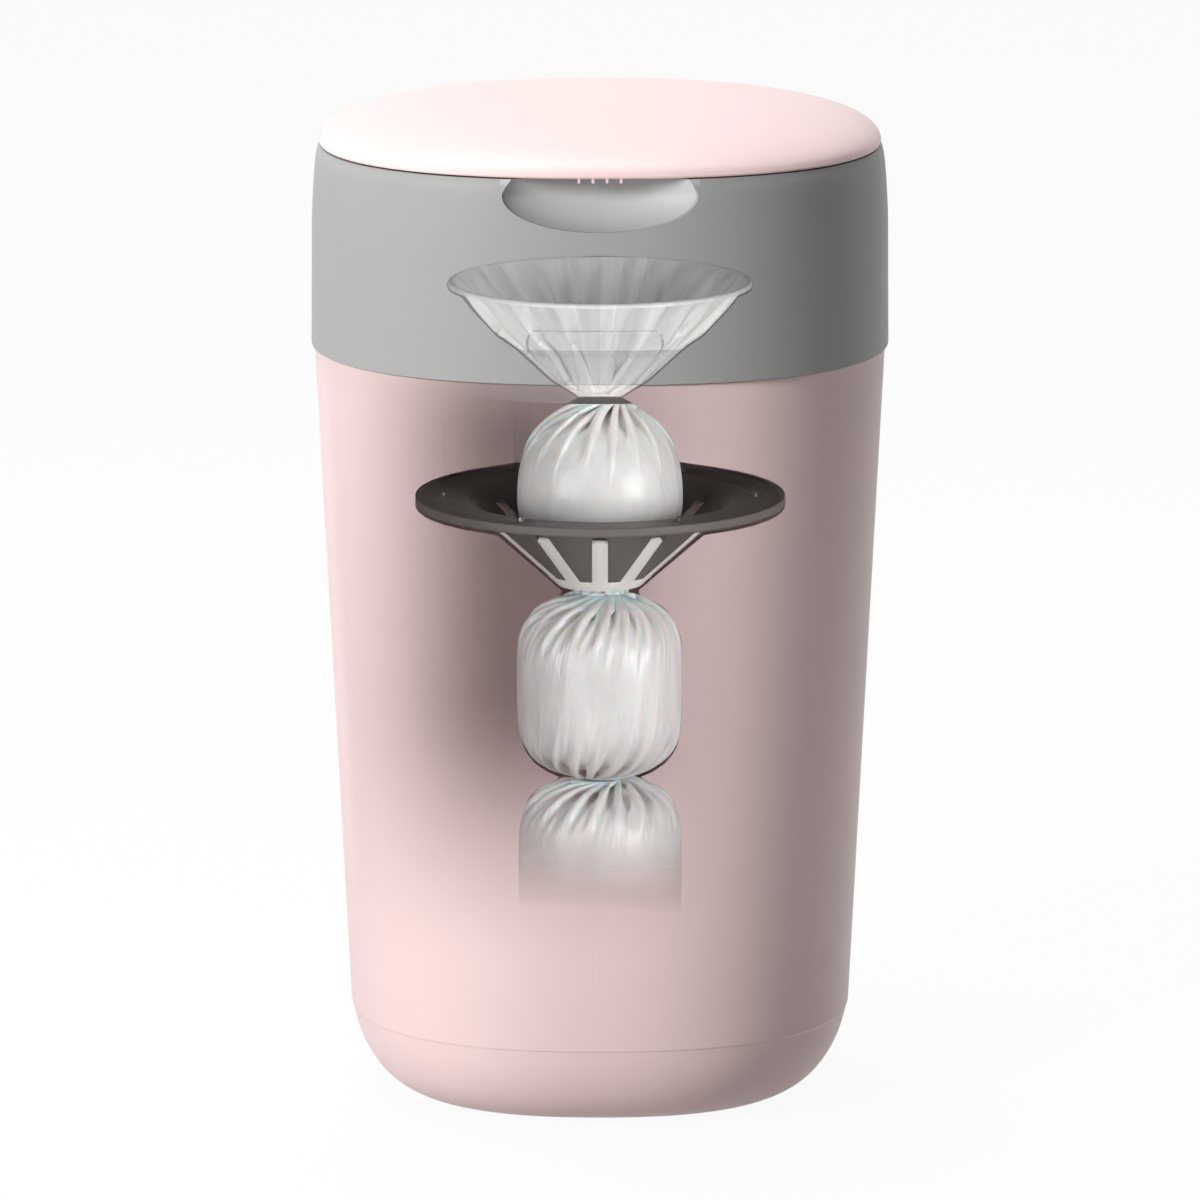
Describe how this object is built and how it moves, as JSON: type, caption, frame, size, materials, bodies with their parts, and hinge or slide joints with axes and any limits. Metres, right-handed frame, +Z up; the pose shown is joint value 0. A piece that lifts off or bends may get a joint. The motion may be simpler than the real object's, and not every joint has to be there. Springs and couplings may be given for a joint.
{
  "type": "nappy bin",
  "caption": "Free-standing nappy bin: tapered tub, lift-off hub with a hinged domed lid, and a twist dial that wraps each nappy in film above a gripping claw.",
  "frame": {"origin": "on the floor, under the middle of the bin", "axes": "+Z up the bin, -Y towards the front with the finger scoop, +X to the right seen from the front"},
  "size_m": [0.263, 0.263, 0.4581],
  "materials": {
    "pink_plastic": "satin",
    "grey_plastic": "fine matte",
    "liner_plastic": "fine matte",
    "dark_plastic": "satin",
    "white_plastic": "satin",
    "film": "soft gloss",
    "wrapped_nappy": "creased film over a soft core",
    "black_rubber": "matte",
    "steel": "bright"
  },
  "bodies": {
    "tub": {"tub": "pink_plastic", "foot_pads": "black_rubber"},
    "hub": {"collar": "grey_plastic", "rim_seal": "black_rubber", "top_deck": "grey_plastic", "deck_screws": "steel", "cassette_drum": "grey_plastic", "drum_screws": "steel", "ratchet_pawl": "steel", "claw_petals": "dark_plastic", "claw_web": "white_plastic", "claw_screws": "steel", "hinge_pin": "steel", "wrapped_parcel_1": "wrapped_nappy", "wrapped_parcel_2": "wrapped_nappy", "wrapped_parcel_3": "wrapped_nappy"},
    "dial": {"twist_dial": "white_plastic", "dial_grips": "dark_plastic", "ratchet_ring": "white_plastic", "cassette_tub": "white_plastic", "cassette_cover": "white_plastic", "film_pack": "film", "film_funnel": "film", "cutter_spring": "steel"},
    "cutter": {"cutter_button": "dark_plastic", "cutter_blade": "steel"},
    "lid": {"lid": "pink_plastic", "lid_liner": "liner_plastic", "lid_seal": "black_rubber", "lid_screws": "steel"}
  },
  "joints": [
    {"name": "hub_lift", "type": "slide", "parent": "tub", "child": "hub", "axis": [0, 0, 1], "range_m": [0, 0.32]},
    {"name": "dial_turn", "type": "hinge", "parent": "hub", "child": "dial", "pos_m": [0, 0, 0.42], "axis": [0, 0, 1], "continuous": true},
    {"name": "cutter_press", "type": "slide", "parent": "dial", "child": "cutter", "axis": [0, 0, -1], "range_m": [0, 0.006], "stiffness_N_per_m": 250, "springref_m": -0.003, "deforming": ["cutter_spring"]},
    {"name": "lid_hinge", "type": "hinge", "parent": "hub", "child": "lid", "pos_m": [0, 0.126, 0.4432], "axis": [-1, 0, 0], "range_deg": [0, 100]}
  ]
}
